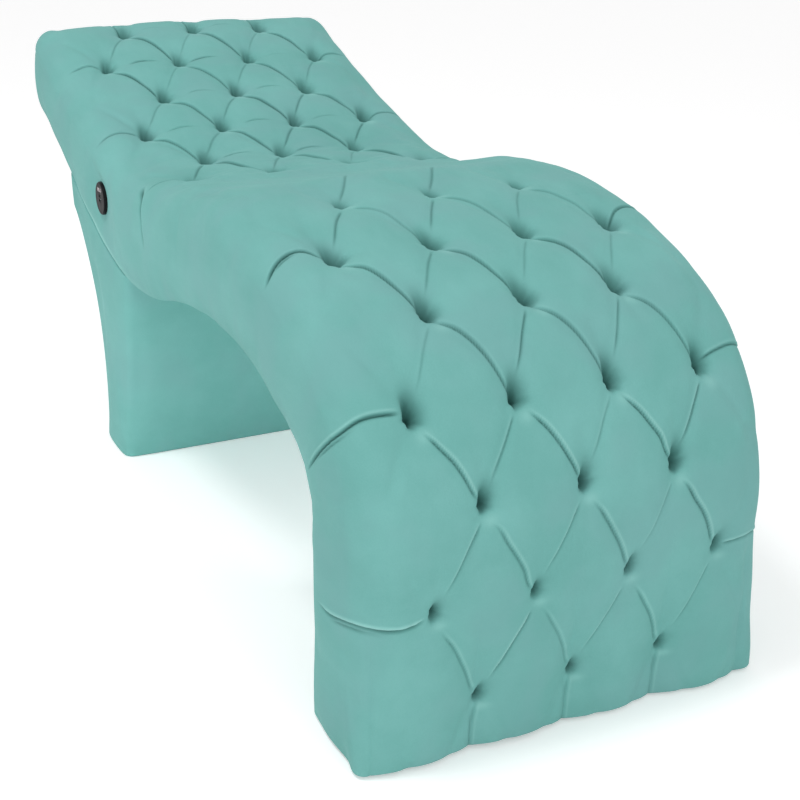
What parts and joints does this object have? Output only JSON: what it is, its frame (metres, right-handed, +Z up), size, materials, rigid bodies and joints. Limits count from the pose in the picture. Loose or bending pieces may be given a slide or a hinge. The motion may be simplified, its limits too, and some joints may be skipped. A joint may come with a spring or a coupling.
{
  "type": "massage table",
  "caption": "S-shaped upholstered treatment couch: tufted shin, knee and back, smooth seat, full-width flared pedestal under the back, round socket on one side.",
  "frame": {"origin": "on the floor, under the middle of the length and the width", "axes": "+X towards the foot end, +Y towards the left hand of a person lying face up, +Z up"},
  "size_m": [1.82, 0.719, 0.8333],
  "materials": {
    "velvet": "soft teal velvet over foam",
    "plywood": "raw birch plywood",
    "hardboard": "raw fibreboard",
    "nylon": "off-white nylon",
    "steel": "zinc-plated steel",
    "glide_plastic": "black moulded plastic",
    "black_plastic": "glossy black plastic"
  },
  "bodies": {
    "root": {"outer_rib_left": "plywood", "inner_rib_left": "plywood", "inner_rib_right": "plywood", "outer_rib_right": "plywood", "toe_board": "plywood", "head_board": "plywood", "leg_rails": "plywood", "seat_rails": "plywood", "back_rails": "plywood", "mounting_rails": "plywood", "leg_deck": "plywood", "seat_deck": "plywood", "back_deck": "plywood", "leg_liner": "hardboard", "seat_liner": "hardboard", "back_liner": "hardboard", "leg_cushion": "velvet", "seat_cushion": "velvet", "back_cushion": "velvet", "tuft_buttons": "velvet", "tuft_ties": "nylon", "side_cover_left": "velvet", "side_cover_right": "velvet", "head_cover": "velvet", "underside_cover": "velvet", "foot_base_cover": "velvet", "pedestal_left_cheek": "hardboard", "pedestal_right_cheek": "hardboard", "pedestal_webs": "hardboard", "pedestal_front_board": "hardboard", "pedestal_rear_board": "hardboard", "pedestal_flare_board": "hardboard", "pedestal_floor_board": "hardboard", "pedestal_top_board": "hardboard", "pedestal_cover": "velvet", "pedestal_base_cover": "velvet", "pedestal_bolts": "steel", "tee_nuts": "steel", "foot_glides": "glide_plastic", "pedestal_glides": "glide_plastic", "socket_housing": "black_plastic", "socket_face": "black_plastic", "usb_receptacles": "steel", "socket_lock_nut": "black_plastic"}
  },
  "joints": []
}
